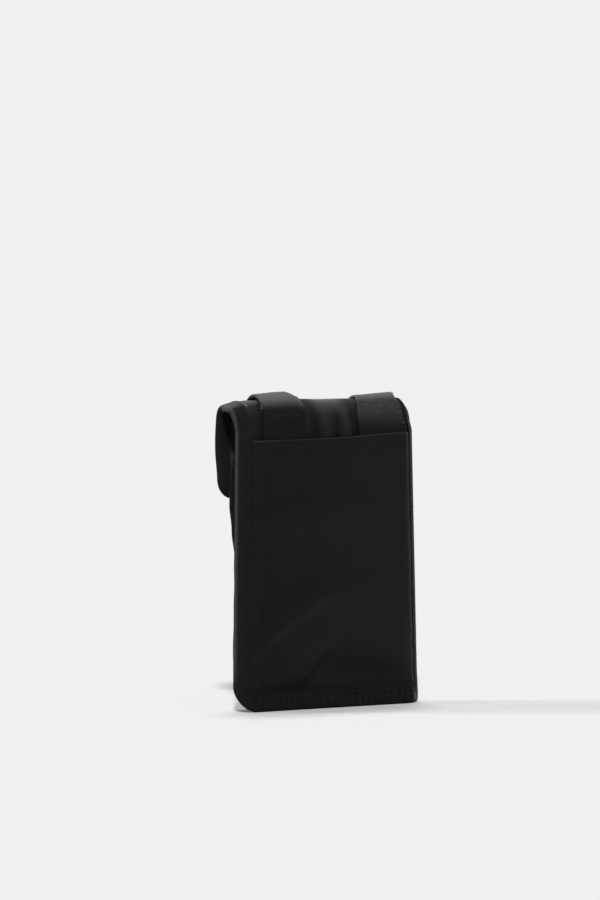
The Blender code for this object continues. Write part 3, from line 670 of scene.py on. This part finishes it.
pocket = dict(
    fullness=0.0021, full=0.0155, deepest=-0.0006, softness=0.0004, room=0.0009, thinnest=0.0004, free=0.020,
    hem=0.0005, hemDepth=0.0082, hemFree=0.0125, rows=(0.0028, 0.0062), groove=(0.00035, 0.0007),
    # place across and height of the mouth, which hangs a little lower on one side, in millimetres
    mouth=((-61, 154.4), (-30, 153.1), (-10, 151.9), (20, 151.1), (61, 150.6)),
    # from place to place, then the height and the width above and below the line
    creases=(
        ((0.0640, 0.0290), (-0.0080, 0.0690), -0.0031, 0.0150, 0.0034),
        ((0.0350, 0.0040), (0.0030, 0.0380), 0.0030, 0.0120, 0.0042),
        ((0.0160, 0.0340), (-0.0560, 0.0270), 0.0056, 0.0230, 0.0100),
        ((0.0600, 0.1080), (-0.0400, 0.1130), -0.0020, 0.0080, 0.0120),
    ),
    # height, width, length and seed of lumps
    swells=((0.0006, 0.024, 0.021, 5, 3), (0.00014, 0.008, 0.009, 6)), pucker=(0.000374, 0.0030, 0.009, 8),
)


def pocketMouth(across):
    places, heights = zip(*pocket["mouth"])
    return np.interp(across, np.array(places) * 0.001, np.array(heights) * 0.001)


def pocketLift(across, along):
    inset = shellInset(across, along)
    lift = pocket["fullness"] * rise(inset, tape["width"] - 0.0008, pocket["full"])
    folds = sum(crease(across, along, *line) for line in pocket["creases"])
    folds = folds + sum(lumps(across, along, *swell) for swell in pocket["swells"])
    side = lumps(0 * along, along, 0.00022, 1, 0.0052, 7) * hump(inset, 0.0105, 0.004) * rise(along, 0.01, 0.02)
    spare = lift + folds * rise(inset, tape["width"], pocket["free"]) + side - pocket["deepest"]
    # a soft lower limit, so that its folds stay off the back panel
    return pocket["deepest"] + (spare + np.sqrt(spare**2 + pocket["softness"] ** 2)) / 2


def pocketRoom(across, along):  # how far the padded back gives way under the pocket
    room = pocket["room"] * rise(shellInset(across, along), tape["width"], 0.016)
    return room * (1 - rise(along - pocketTop, -0.020, -0.008))


def pocketOuter(across, along):
    below = pocketMouth(across) - along
    hem = pocket["hem"] * (1 - rise(below - pocket["hemDepth"], -0.0006, 0.0006))
    depth, width = pocket["groove"]
    seams = depth * sum(hump(below, row, width) for row in pocket["rows"])
    pucker = lumps(across, below, *pocket["pucker"]) * hump(below, pocket["rows"][1], 0.0045)
    rounding = 0.0005 * (1 - smooth(below / 0.0007))
    share = rise(shellInset(across, along), tape["width"], pocket["hemFree"])
    return pocketStack + pocketLift(across, along) + (hem - seams + pucker) * share - rounding


# Back, slip pocket and the flap's cloths
under = layer["nylon"] + air


def flapShare(along):
    return rise(along - foldBack, -0.005, 0.005)


def backLiningDepth(across, along):
    inset = np.minimum(shellInset(across, along), edgeLine.shoulder + tape["width"] / 2 - along)
    foamed = (layer["backFoam"] + air) * rise(inset, tape["width"], body["corner"])
    return under + foamed + flapShare(along) * (layer["interlining"] + air)


def backFaces(across, along):
    return -under - pocketRoom(across, along), air - backLiningDepth(across, along)


def frontFaces(across, along):
    return -under, -under - layer["frontFoam"] * rise(frontInset(across, along), tape["width"], body["corner"])


def padding(name, place, halfWidthAt, columns, top, faces, node):
    rows = spread(body["corner"], top, 0.004)[1:]
    insets = spread((tape["width"] + body["corner"]) / 2, body["corner"], 0.001)
    grid = panelGrid(halfWidthAt, insets, columns, rows, body["corner"])
    points = [place(*grid, out) for out in faces(*grid)]
    piece = joined(sheetMesh(name, *points, grid, foam), "pouch_body", (node,))


def backCloths():
    relief = shellRelief(*backGrid) - pocketRoom(*backGrid)
    cutCloth(
        "backPanel", shellPlace, backGrid, relief, layer["nylon"], backNylon, backFold,
        ("back_panel", "flap_crown_panel"),
    )
    cutCloth(
        "backLining", shellPlace, backGrid, -backLiningDepth(*backGrid), layer["lining"], lining, backFold,
        ("back_lining", "flap_crown_lining"),
    )
    padding("backPadding", shellPlace, shellHalfWidth, middles[::4], pocketTop - 0.011, backFaces, "back_foam")
    grid = panelGrid(shellHalfWidth, flapInsets[::3], middles[::4], spread(foldBack + 0.0030, crownAt, 0.002))
    cutCloth(
        "crownInterlining", shellPlace, grid, -under, layer["interlining"], foam, backFold,
        ("flap_crown_interlining",),
    )


def slipPocket():
    lip = np.array([0.0007, 0.0005, 0.0003, 0.00015, 0.00005, 0.0])
    rows = np.concatenate([spread(body["corner"], pocketTop - 0.001, 0.0009)[1:], pocketTop - lip])
    across, along = panelGrid(shellHalfWidth, bodyInsets, middles, rows, body["corner"])
    along = along + (pocketMouth(across) - pocketTop) * rise(along, 0.110, pocketTop)
    outer = pocketOuter(across, along)
    thick = np.maximum(outer - air - pocketLift(across, along), pocket["thinnest"])
    cutCloth(
        "slipPocket", shellPlace, (across, along), outer, thick, pocketNylon, "pouch_body", ("slip_pocket",),
        hem=(0, pocket["hemDepth"]), uv=(across, pocketMouth(across) - along),
    )


def flapCloths():
    across, fromTip = flapGrid
    for name, part, cloth, outer, finish, slot in (
        ("flapPanel", "panel", "nylon", shellRelief(across, shellLength - fromTip), flapNylon, "nylon"),
        ("flapInterlining", "interlining", "interlining", -under, foam, "foam"),
        ("flapLining", "lining", "lining", layer["lining"] - flapStack, lining, "lining"),
    ):
        cutCloth(
            name, flapPlace, flapGrid, outer, layer[cloth], finish, frontFold,
            ("flap_crown_" + part, "flap_front_" + part),
        )


backCloths()
slipPocket()
flapCloths()
print("back, slip pocket and flap made")

# Front panel, gusset and closure
frontWaves = dict(
    folds=((0.00045, 0.026, 0.022, 21, 9), (0.00012, 0.009, 0.008, 22)), free=0.020,
    hem=0.0004, hemDepth=(0.0074, 0.0086), row=0.0064, groove=(0.0003, 0.0007), lowest=-0.0003,
)


def frontLift(across, along):
    inset, below = frontInset(across, along), front["height"] - along
    folds = sum(lumps(across, along, *fold) for fold in frontWaves["folds"])
    hem = frontWaves["hem"] * (1 - rise(below, *frontWaves["hemDepth"]))
    depth, width = frontWaves["groove"]
    groove = depth * hump(below, frontWaves["row"], width)
    lift = folds * rise(inset, tape["width"], frontWaves["free"]) + (hem - groove) * rise(inset, 0.0, 0.004)
    return np.maximum(lift, frontWaves["lowest"])


def frontCloths():
    lift = frontLift(*frontGrid)
    cutCloth(
        "frontPanel", frontPlace, frontGrid, lift, lift + layer["nylon"], nylon, "pouch_body",
        ("front_panel",), hem=(2 * air, air),
    )
    inset = np.minimum(frontInset(*frontGrid), front["height"] + tape["width"] / 2 - frontGrid[1])
    foamed = (layer["frontFoam"] + air) * rise(inset, tape["width"], body["corner"])
    cutCloth(
        "frontLining", frontPlace, frontGrid, -under - foamed, layer["lining"], lining, "pouch_body",
        ("front_lining",),
    )
    columns = np.arange(0.0396, 0.0004, -0.004)
    padding("frontPadding", frontPlace, frontHalfWidth, columns, front["height"] - 0.0115, frontFaces, "front_foam")


def gusset():  # a folded strip between the two bound edges
    seam, fold, thick = 0.0055, 0.0110, 0.0006
    depth = backEdgeStack + 2 * air + tape["thick"]
    top = front["height"] * 0.92
    back, _ = edgeStations(shellHalfWidth, top, body["corner"], 0.0012)
    ahead, run = edgeStations(frontHalfWidth, top, body["corner"], 0.0012)
    new, old = np.linspace(0, 1, len(ahead)), np.linspace(0, 1, len(back))
    back = np.stack([np.interp(new, old, back[:, k]) for k in range(4)], -1)
    t = spread(0, 1, 0.05)
    fullness = 1 - np.abs(2 * t - 1) ** 1.25
    crumple = 0.0006 * softNoise(run[:, None] / 0.013, t[None, :] * 1.5, 31) * np.sin(math.pi * t)

    def placed(place, stations, inset):
        x, z, inX, inZ = (stations[:, k, None] for k in range(4))
        return place(x + inX * inset, z + inZ * inset, -depth)

    grids = []
    for extra in (0.0, thick):
        inset = seam + (fold - seam) * fullness[None, :] + extra + crumple
        ends = placed(shellPlace, back, inset), placed(frontPlace, ahead, inset)
        grids.append(mix(*ends, t[None, :, None]))
    width = np.linalg.norm(np.diff(grids[0], axis=1), axis=-1).sum(axis=1)
    uv = width.mean() / len(t) * np.arange(1, len(t) + 1), run[:, None]
    piece = joined(sheetMesh("gussetStrip", *grids, uv, nylon), "pouch_body", ("gusset",))
    flat = (float(width.max()), float(run[-1]))
    area = min(float(0.5 * ((width[1:] + width[:-1]) * np.diff(run)).sum()), flat[0] * flat[1])
    print("gusset: strip", [round(s, 4) for s in flat])


# Binding: a tape folded over a raw edge, held by a row of stitches
leaf = np.array([8.5, 8.35, 8.1, 7.7, 7.2, 6.7, 6.2, 5.5, 4.6, 3.7, 2.8, 1.9]) * 0.001  # in from the raw edge
ribbon = dict(
    seamRow=0.0067, seamSunk=0.00012, knee=0.0011, groove=0.00016, pucker=0.00020, pitch=0.0026, wave=0.00028,
    ripple=0.00050, ripplePitch=0.0018, edgeDip=0.00025, middle=0.0105,
)


def blunt(wave):
    return np.sign(wave) * np.abs(wave) ** 0.85


# The tape's leaves lie on what is sewn at the edge, whose outer and inner heights are the two stacks
def bound(name, place, halfWidthAt, radius, top, stacks, moves, nodes, seed, finish):
    stations, run = edgeStations(halfWidthAt, top, radius, 0.0010)
    x, z, inX, inZ = (stations[:, k, None] for k in range(4))
    s, inward = run[:, None], leaf[None, :]
    high, low = ((stack(x, z) if callable(stack) else stack) + air + 0 * s for stack in stacks)
    half, centre = (high + low) / 2, (high - low) / 2
    wander = ribbon["wave"] * softNoise(s / 0.011, 0.5 + 0 * s, seed)
    pucker = softNoise(s / ribbon["pitch"] * 2, inward / 0.004, seed + 1) * hump(inward, ribbon["seamRow"], 0.0026)
    ripple = softNoise(s / ribbon["ripplePitch"], 0.5 + 0 * s, seed + 2) * inZ  # stronger along the bottom
    ripple = ripple * rise(inward, 0.002, 0.004)
    relief = ribbon["pucker"] * pucker - ribbon["groove"] * hump(inward, ribbon["seamRow"], 0.0007)
    relief = relief + ribbon["ripple"] * ripple - ribbon["edgeDip"] * (1 - smooth((leaf[0] - inward) / 0.0006))
    turn = spread(0, math.pi, 0.3)
    grids = []
    for extra in (0.0, tape["thick"]):
        tuck = (ribbon["knee"] + extra - tape["thick"] + tape["fold"]) * blunt(np.sin(turn))
        d = np.concatenate([leaf, ribbon["knee"] - tuck, leaf[::-1]])[None, :] + 0 * s
        d = d - np.where(d < ribbon["knee"], wander * 0.6, 0)
        lift = (extra + relief) * (extra > 0)
        arc = centre + (half + extra) * blunt(np.cos(turn))[None, :]
        h = np.concatenate([high + lift, arc, -low - lift[:, ::-1]], axis=1)
        grids.insert(0, place(x + inX * d, z + inZ * d, h))
    across = np.concatenate([[0.0], np.cumsum(np.hypot(np.diff(d[0]), np.diff(h[0])))])
    uv = across - across[-1] / 2 + ribbon["middle"], np.minimum(s, run[-1] - s)
    piece = joined(sheetMesh(name, *grids, uv, finish), moves, nodes)
    print(f"{name}: tape {across[-1] * 1000:.1f} x {run[-1] * 1000:.0f} mm")
    row, out = ribbon["seamRow"], tape["thick"] - ribbon["seamSunk"]
    seams = [place(x + inX * row, z + inZ * row, height)[:, 0] for height in (high + out, -low - out)]
    return [seam[2:-2] for seam in seams]  # the stitches end short of the tape


def bodyOuterStack(across, along):
    return pocketStack * (1 - smooth((along - pocketMouth(across)) / tape["width"]))


def bodyInnerStack(across, along):
    return backEdgeStack + flapShare(along) * (flapStack - backEdgeStack)


crownTapes = ("crown_binding_left", "crown_binding_right")
backSeams = bound(
    "backBinding", shellPlace, shellHalfWidth, body["corner"], crownAt, (bodyOuterStack, bodyInnerStack), backFold,
    ("back_binding", *crownTapes), 41, crownBinding,
)
flapSeams = bound(
    "flapBinding", flapPlace, flapHalfWidth, flap["corner"], shellLength - crownAt, (0, flapStack), frontFold,
    ("flap_binding", *crownTapes), 43, flapBinding,
)
frontSeams = bound(
    "frontBinding", frontPlace, frontHalfWidth, body["corner"], front["height"], (0, backEdgeStack), "pouch_body",
    ("front_binding",), 45, binding,
)
frontCloths()
gusset()
print("bound edges, front and gusset made")


def sideName(side):
    return "right" if side > 0 else "left"


def webbingLift(side, along, off):
    over = rise(along, edgeLine.shoulder, crownAt - 0.003) * (1 - rise(along - crownAt, 0.001, 0.010))
    return strap["lift"][sideName(side)] * over * fromShares(strap["bow"][sideName(side)], off / strap["width"])


# The left band slants outwards with the crown's depth, and both bands' outer edges are drawn in there
def webbingShift(side, along, off):
    depth = -edgeLine.at(np.minimum(along, crownAt))[..., 0]
    pinch = strap["pinch"][sideName(side)] * off * rise(along, edgeLine.shoulder - 0.002, crownAt)
    return -side * pinch - (side < 0) * (strap["shift"] + strap["slant"] * depth)


def webbingBand(name, side, start, end, moves, node):
    edge = np.array([0.0, 0.00006, 0.0002, 0.00045, 0.0008])
    offs = np.concatenate([edge, spread(0.0011, strap["width"] - 0.0011, 0.0005), strap["width"] - edge[::-1]])
    off, along = np.meshgrid(offs, spread(start, end, 0.0005))
    fromEdge = np.minimum(off, strap["width"] - off) / (strap["thick"] / 2)
    half = strap["thick"] / 2 * np.sqrt(np.clip(1 - (1 - np.clip(fromEdge, 0, 1)) ** 2, 0.02, 1))
    across = side * (strap["inner"] + off) + webbingShift(side, along, off)
    chevron = np.abs(((off / strap["chevron"]) % 2) - 1) * strap["chevron"]
    ribs = np.sin(2 * math.pi * (along + chevron) / strap["rib"]) * smooth(fromEdge - 0.8)
    wave = np.maximum(lumps(off, along, 0.00035, 0.012, 0.016, 51), -0.0001) * rise(along, start, start + 0.02)
    middle = air + strap["thick"] / 2 + wave + webbingLift(side, along, off)
    points = [shellPlace(across, along, out) for out in (middle + half + strap["relief"] * ribs, middle - half)]
    piece = joined(sheetMesh(name, *points, (off, along), webbing[sideName(side)]), moves, (node,))


for name, side, node in (("Left", -1, "left_webbing"), ("Right", 1, "right_webbing")):
    webbingBand(f"webbingBack{name}", side, pocketTop - strap["tail"], crownAt, backFold, node)
    webbingBand(f"webbingFront{name}", side, crownAt, shellLength - strap["endInset"], frontFold, node)
print("webbing made")

hookLow = tape["width"] + air
loopLow = flap["tipHeight"] + hookLow - closure["margin"] - body["standing"]
loopHigh = loopLow + closure["height"] + closure["margin"]


def closureTapes():
    def tapeGrid(half, low, high):
        return np.meshgrid(spread(-half, half, 0.001), spread(low, high, 0.0008))

    grid = tapeGrid(closure["halfWidth"], hookLow, hookLow + closure["height"])
    cutCloth(
        "hookTape", flapPlace, grid, -flapStack - air, closure["thick"], hookLoop, "flap_front",
        ("hook_tape",),
    )
    grid = tapeGrid(closure["halfWidth"] + closure["margin"], loopLow, loopHigh)
    outer = air + closure["thick"] + lumps(*grid, 0.00012, 0.0012, 0.0012, 61)
    cutCloth(
        "loopTape", frontPlace, grid, outer, closure["thick"], hookLoop, "pouch_body",
        ("loop_tape",),
    )


closureTapes()
print("closure made")


# Stitches: short threads set along seam lines by one tree of nodes
def stitchTree():
    group = bpy.data.node_groups.new("stitches", "GeometryNodeTree")
    for name, kind in (
        ("Seam", "Geometry"), ("Pitch", "Float"), ("Length", "Float"), ("Thickness", "Float"),
        ("Unevenness", "Float"), ("Seed", "Int"), ("Thread", "Material"),
    ):
        group.interface.new_socket(name, in_out="INPUT", socket_type="NodeSocket" + kind)
    group.interface.new_socket("Stitches", in_out="OUTPUT", socket_type="NodeSocketGeometry")
    tree = Tree(group)
    given = {socket.name: Wire(tree, socket) for socket in tree.nodes.new("NodeGroupInput").outputs}
    line = tree.node("GeometryNodeMeshToCurve", None, {"Mesh": given["Seam"]})
    line = tree.node("GeometryNodeResampleCurve", {"mode": "LENGTH"}, {"Curve": line, "Length": given["Pitch"]})
    ball = tree.node("GeometryNodeMeshUVSphere", None, {"Segments": 6, "Rings": 4, "Radius": 0.5})
    axes = {"X": given["Thickness"], "Y": given["Thickness"], "Z": given["Length"]}
    size = tree.node("ShaderNodeCombineXYZ", None, axes)
    ball = tree.node("GeometryNodeTransform", None, {"Geometry": ball, "Scale": size})
    ball = tree.node("GeometryNodeSetShadeSmooth", None, {"Geometry": ball})
    low, high = (
        tree.node("ShaderNodeCombineXYZ", None, {axis: given["Unevenness"] * sign for axis in "XYZ"})
        for sign in (-1.0, 1.0)
    )
    lean = {0: low, 1: high, "Seed": given["Seed"]}
    lean = tree.node("FunctionNodeRandomValue", {"data_type": "FLOAT_VECTOR"}, lean)
    run = tree.node("GeometryNodeInputTangent")
    lean = tree.node("ShaderNodeVectorMath", {"operation": "ADD"}, {0: run, 1: lean})
    turn = tree.node("FunctionNodeAlignRotationToVector", {"axis": "Z"}, {"Vector": lean})
    row = tree.node("GeometryNodeInstanceOnPoints", None, {"Points": line, "Instance": ball, "Rotation": turn})
    row = tree.node("GeometryNodeRealizeInstances", None, {"Geometry": row})
    row = tree.node("GeometryNodeSetMaterial", None, {"Geometry": row, "Material": given["Thread"]})
    tree.links.new(row.socket, tree.nodes.new("NodeGroupOutput").inputs["Stitches"])
    return group


stitches = stitchTree()
stitch = dict(Pitch=0.0026, Length=0.0021, Thickness=0.00042, Unevenness=0.10, Seed=3, Thread=thread)
fuzz = dict(Pitch=0.0009, Length=0.0026, Thickness=0.00030, Unevenness=1.1, Seed=8, Thread=looseFibre)


def sewn(name, lines, moves, slot, **changes):
    points = np.concatenate(lines)
    starts = np.cumsum([0] + [len(line) for line in lines])
    edges = [(k, k + 1) for first, last in zip(starts, starts[1:]) for k in range(first, last - 1)]
    guide = linked(name + "Guide", bpy.data.meshes.new(name + "Guide"))
    guide.data.from_pydata(points.tolist(), edges, [])
    made = guide.modifiers.new("stitches", "NODES")
    made.node_group = stitches
    for item in stitches.interface.items_tree:
        if item.in_out == "INPUT" and item.name != "Seam":
            made[item.identifier] = {**stitch, **changes}[item.name]
    graph = bpy.context.evaluated_depsgraph_get()
    mesh = bpy.data.meshes.new_from_object(guide.evaluated_get(graph))
    mesh.name = name
    bpy.data.objects.remove(guide)
    joined(mesh, moves)


def box(place, left, right, low, high, out, diagonals=False):
    corners = [(left, low), (right, low), (right, high), (left, high), (left, low)]
    pairs = list(zip(corners, corners[1:]))
    if diagonals:
        pairs += [((left, low), (right, high)), ((left, high), (right, low))]
    share = np.linspace(0, 1, 25)
    return [place(mix(a, c, share), mix(b, d, share), out) for (a, b), (c, d) in pairs]


def tapeStitches():
    across = np.linspace(-0.0505, 0.0505, 160)
    mouth = pocketMouth(across)
    rows = [shellPlace(across, mouth - row, pocketOuter(across, mouth - row)) for row in pocket["rows"]]
    sewn("pocketStitches", rows, "pouch_body", "nylon", Thickness=0.00036)
    hem = np.linspace(-0.046, 0.046, 150)
    height = front["height"] - frontWaves["row"] + 0 * hem
    half, inset = closure["halfWidth"], 0.0012
    lines = [frontPlace(hem, height, frontLift(hem, height) + 0.00005)]
    lines += box(frontPlace, -half, half, loopLow + inset, loopHigh - inset, air + closure["thick"])
    sewn("frontStitches", lines, "pouch_body", "nylon")
    for name, seams, moves in (
        ("front", frontSeams, "pouch_body"), ("back", backSeams, backFold), ("flap", flapSeams, frontFold),
    ):
        sewn(name + "BindingStitches", seams, moves, "binding")
    depth = -flapStack - air - closure["thick"]
    high = hookLow + closure["height"] - inset
    lines = box(flapPlace, -half + inset, half - inset, hookLow + inset, high, depth)
    sewn("hookTapeStitches", lines, "flap_front", "hook_and_loop")


def webbingStitches():
    end, top = shellLength - strap["endInset"], air + strap["thick"]
    lines = []
    for side in (-1, 1):
        left, right = sorted(side * (strap["inner"] + x) + float(webbingShift(side, end, x)) for x in (0.003, 0.027))
        lines += box(shellPlace, left, right, end - 0.016, end - 0.0025, top, diagonals=True)
    sewn("webbingStitches", lines, frontFold, "webbing", Thickness=0.0005)
    off = strap["width"] - 0.0001
    lines = []
    for side, low in ((-1, 0.006), (1, 0.014)):  # loose fibres up the bands' outer edges
        along = np.linspace(edgeLine.shoulder + low, crownAt + 0.002, 60)
        across = side * (strap["inner"] + off) + webbingShift(side, along, off)
        out = air + strap["thick"] * 0.6 + webbingLift(side, along, off)
        lines.append(shellPlace(across, along, out))
    sewn("webbingFuzz", lines, backFold, "webbing", **fuzz)


tapeStitches()
webbingStitches()
print("stitches made")

# Floor, light and camera
room = dict(
    floor=0.893, bounce=0.60, fill=0.08, backdrop=0.8714, reach=60.0, drop=-0.0002,
    # lamp, azimuth, elevation, strength and angle across
    lamps=(("key", 60, 26, 0.97, 12), ("rim", 342, 79, 0.98, 12), ("front", 149, 48, 1.94, 5)),
)
view = dict(azimuth=150, elevation=2.5, distance=2.4, aim=0.0105, height=0.1446, scale=1.772, frameHeight=900)


def towards(azimuth, elevation):  # from the object; azimuth 0 is on the -Y side and 90 on the +X side
    a, e = math.radians(azimuth), math.radians(elevation)
    return Vector((math.sin(a) * math.cos(e), -math.cos(a) * math.cos(e), math.sin(e)))


def studio():
    pale = Finish("pale floor")
    colour = pale.colour(grey(room["bounce"]), grey(room["floor"]), pale.seen())
    pale.end(pale.node("ShaderNodeBsdfDiffuse", None, {"Color": colour}))
    square = [(x * room["reach"], y * room["reach"], room["drop"]) for x, y in ((-1, -1), (1, -1), (1, 1), (-1, 1))]
    mesh = bpy.data.meshes.new("floor")
    mesh.from_pydata(square, [], [(0, 1, 2, 3)])
    mesh.materials.append(pale.owner)
    linked("floor", mesh)
    for name, azimuth, elevation, strength, angle in room["lamps"]:
        data = bpy.data.lights.new(name, "SUN")
        data.energy, data.angle = strength, math.radians(angle)
        linked(name, data).rotation_euler = towards(azimuth, elevation).to_track_quat("Z", "Y").to_euler()
    sky = Finish("studio", "worlds")
    light, sight = (
        sky.node("ShaderNodeBackground", None, {"Color": (*grey(room[part]), 1)}) for part in ("fill", "backdrop")
    )
    sky.end(sky.node("ShaderNodeMixShader", None, {0: sky.seen(), 1: light, 2: sight}), "ShaderNodeOutputWorld")
    bpy.context.scene.world = sky.owner


def cameraMade():
    back, left = towards(view["azimuth"], view["elevation"]), towards(view["azimuth"] - 90, 0)
    data = bpy.data.cameras.new("camera")
    data.sensor_fit, data.sensor_height = "VERTICAL", 24
    data.lens = view["scale"] * view["distance"] * 1000 / view["frameHeight"] * data.sensor_height
    data.clip_start, data.clip_end = 0.05, 200
    camera = linked("camera", data)
    camera.location = left * view["aim"] + Vector((0, 0, view["height"])) + back * view["distance"]
    camera.rotation_euler = back.to_track_quat("Z", "Y").to_euler()
    bpy.context.scene.camera = camera


studio()
cameraMade()
bpy.context.scene.view_settings.view_transform = "Standard"
print("studio and camera set")
